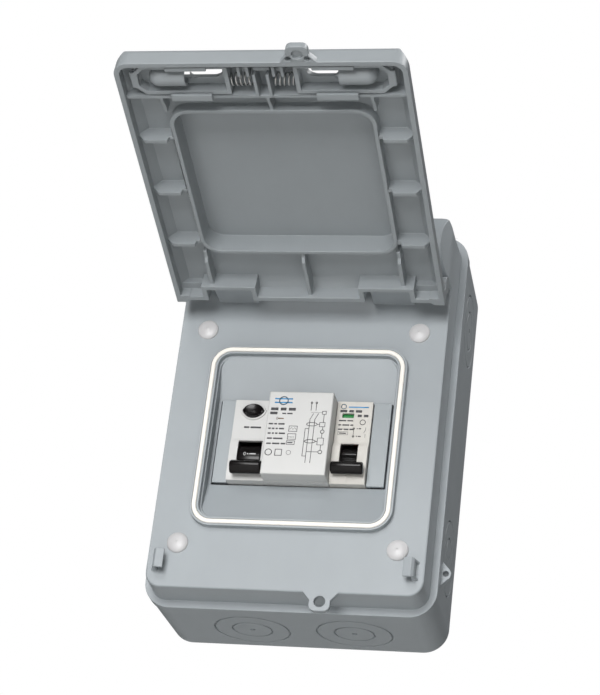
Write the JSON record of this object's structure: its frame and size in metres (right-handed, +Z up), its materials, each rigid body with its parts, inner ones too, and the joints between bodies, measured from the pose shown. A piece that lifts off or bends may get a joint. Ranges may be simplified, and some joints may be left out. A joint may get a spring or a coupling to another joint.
{
  "type": "residual current device enclosure",
  "caption": "Weatherproof wall enclosure with a hinged latching lid, open on a recess that holds a residual current device with test button and a circuit breaker.",
  "frame": {"origin": "centre of the wall face, in the plane of the wall", "axes": "+Z up, +X to the right seen from the front, front towards -Y, +Y into the wall"},
  "size_m": [0.1472, 0.2451, 0.2085],
  "materials": {
    "housing_grey": "satin moulded, fine grain",
    "lid_grey": "satin moulded",
    "cap_grey": "satin",
    "blank_grey": "satin",
    "seal_cream": "soft foam rubber",
    "device_white": "satin moulded",
    "breaker_white": "satin moulded",
    "lever_black": "gloss",
    "clip_black": "satin",
    "flag_green": "satin",
    "zinc_steel": "zinc plated",
    "brass": "machined",
    "copper": "drawn copper",
    "ferrite": "coated core",
    "board_green": "solder mask",
    "holder_dark": "satin"
  },
  "bodies": {
    "enclosure": {"rear_box": "housing_grey", "front_cover": "housing_grey", "screw_caps": "cap_grey", "blank_left": "blank_grey", "blank_right": "blank_grey", "door_seal": "seal_cream", "cover_gasket": "seal_cream", "rcd_case_left": "device_white", "rcd_case_right": "device_white", "rcd_front_cover": "device_white", "mcb_case_left": "breaker_white", "mcb_case_right": "breaker_white", "cover_screws": "zinc_steel", "din_rail": "zinc_steel", "rail_screws": "zinc_steel", "bar_screws": "zinc_steel", "rcd_toggle_pin": "zinc_steel", "rcd_test_spring": "zinc_steel", "rcd_terminals": "zinc_steel", "rcd_terminal_screws": "zinc_steel", "mcb_toggle_pin": "zinc_steel", "mcb_bimetal": "zinc_steel", "mcb_arc_chute": "zinc_steel", "mcb_terminals": "zinc_steel", "mcb_terminal_screws": "zinc_steel", "mcb_rivets": "zinc_steel", "neutral_bar": "brass", "earth_bar": "brass", "rcd_toroid_winding": "copper", "rcd_conductors": "copper", "rcd_fixed_contacts": "copper", "mcb_coil": "copper", "mcb_fixed_contact": "copper", "rcd_toroid_core": "ferrite", "rcd_circuit_board": "board_green", "terminal_holder": "holder_dark", "rcd_trip_relay": "holder_dark"},
    "lid_body": {"lid": "lid_grey", "hinge_pin_left": "zinc_steel", "hinge_pin_right": "zinc_steel", "latch_spring_left": "zinc_steel", "latch_spring_right": "zinc_steel"},
    "left_latch": {"latch_left": "lid_grey"},
    "right_latch": {"latch_right": "lid_grey"},
    "rcd_lever": {"rcd_toggle": "lever_black"},
    "breaker_lever": {"mcb_toggle": "lever_black"},
    "test_button": {"rcd_test_button": "lever_black"},
    "rcd_rail_clip": {"rcd_din_clip": "clip_black"},
    "breaker_rail_clip": {"mcb_din_clip": "clip_black"},
    "breaker_flag": {"mcb_flag": "flag_green"},
    "rcd_contact_arms": {"rcd_moving_contacts": "copper"},
    "breaker_contact_arm": {"mcb_moving_contact": "copper"},
    "rcd_relay_pin": {"rcd_relay_plunger": "zinc_steel"},
    "breaker_plunger": {"mcb_plunger": "zinc_steel"}
  },
  "joints": [
    {"name": "lid_hinge", "type": "hinge", "parent": "enclosure", "child": "lid_body", "pos_m": [0, -0.0815, 0.0592], "axis": [-1, 0, 0], "range_deg": [-104.3, 0]},
    {"name": "latch_left_slide", "type": "slide", "parent": "lid_body", "child": "left_latch", "axis": [1, 0, 0], "range_m": [0, 0.004], "stiffness_N_per_m": 400, "springref_m": -0.004, "deforming": ["latch_spring_left"]},
    {"name": "latch_right_slide", "type": "slide", "parent": "lid_body", "child": "right_latch", "axis": [-1, 0, 0], "range_m": [0, 0.004], "stiffness_N_per_m": 400, "springref_m": -0.004, "deforming": ["latch_spring_right"]},
    {"name": "rcd_lever_hinge", "type": "hinge", "parent": "enclosure", "child": "rcd_lever", "pos_m": [0, -0.061, -0.0285], "axis": [-1, 0, 0], "range_deg": [0, 66]},
    {"name": "breaker_lever_hinge", "type": "hinge", "parent": "enclosure", "child": "breaker_lever", "pos_m": [0, -0.06, -0.028], "axis": [-1, 0, 0], "range_deg": [0, 60]},
    {"name": "test_button_slide", "type": "slide", "parent": "enclosure", "child": "test_button", "axis": [0, 1, 0], "range_m": [0, 0.0015], "stiffness_N_per_m": 600, "springref_m": -0.001, "deforming": ["rcd_test_spring"]},
    {"name": "rcd_rail_clip_slide", "type": "slide", "parent": "enclosure", "child": "rcd_rail_clip", "axis": [0, 0, -1], "range_m": [0, 0.003], "stiffness_N_per_m": 1500, "springref_m": -0.001},
    {"name": "breaker_rail_clip_slide", "type": "slide", "parent": "enclosure", "child": "breaker_rail_clip", "axis": [0, 0, -1], "range_m": [0, 0.003], "stiffness_N_per_m": 1500, "springref_m": -0.001},
    {"name": "breaker_flag_hinge", "type": "hinge", "parent": "enclosure", "child": "breaker_flag", "pos_m": [0, -0.0562, -0.00485], "axis": [1, 0, 0], "range_deg": [0, 30]},
    {"name": "rcd_contact_hinge", "type": "hinge", "parent": "enclosure", "child": "rcd_contact_arms", "pos_m": [0, -0.0485, -0.0145], "axis": [1, 0, 0], "range_deg": [0, 22]},
    {"name": "breaker_contact_hinge", "type": "hinge", "parent": "enclosure", "child": "breaker_contact_arm", "pos_m": [0, -0.047, -0.0105], "axis": [1, 0, 0], "range_deg": [0, 14]},
    {"name": "rcd_relay_slide", "type": "slide", "parent": "enclosure", "child": "rcd_relay_pin", "axis": [-1, 0, 0], "range_m": [0, 0.0015], "stiffness_N_per_m": 300, "springref_m": -0.001},
    {"name": "breaker_plunger_slide", "type": "slide", "parent": "enclosure", "child": "breaker_plunger", "axis": [0, 0, -1], "range_m": [0, 0.003], "stiffness_N_per_m": 300, "springref_m": -0.001}
  ],
  "couplings": [
    {"joint": "breaker_flag_hinge", "follows": "breaker_lever_hinge", "ratio": 0.5},
    {"joint": "breaker_contact_hinge", "follows": "breaker_lever_hinge", "ratio": 0.2333},
    {"joint": "rcd_contact_hinge", "follows": "rcd_lever_hinge", "ratio": 0.3333}
  ]
}
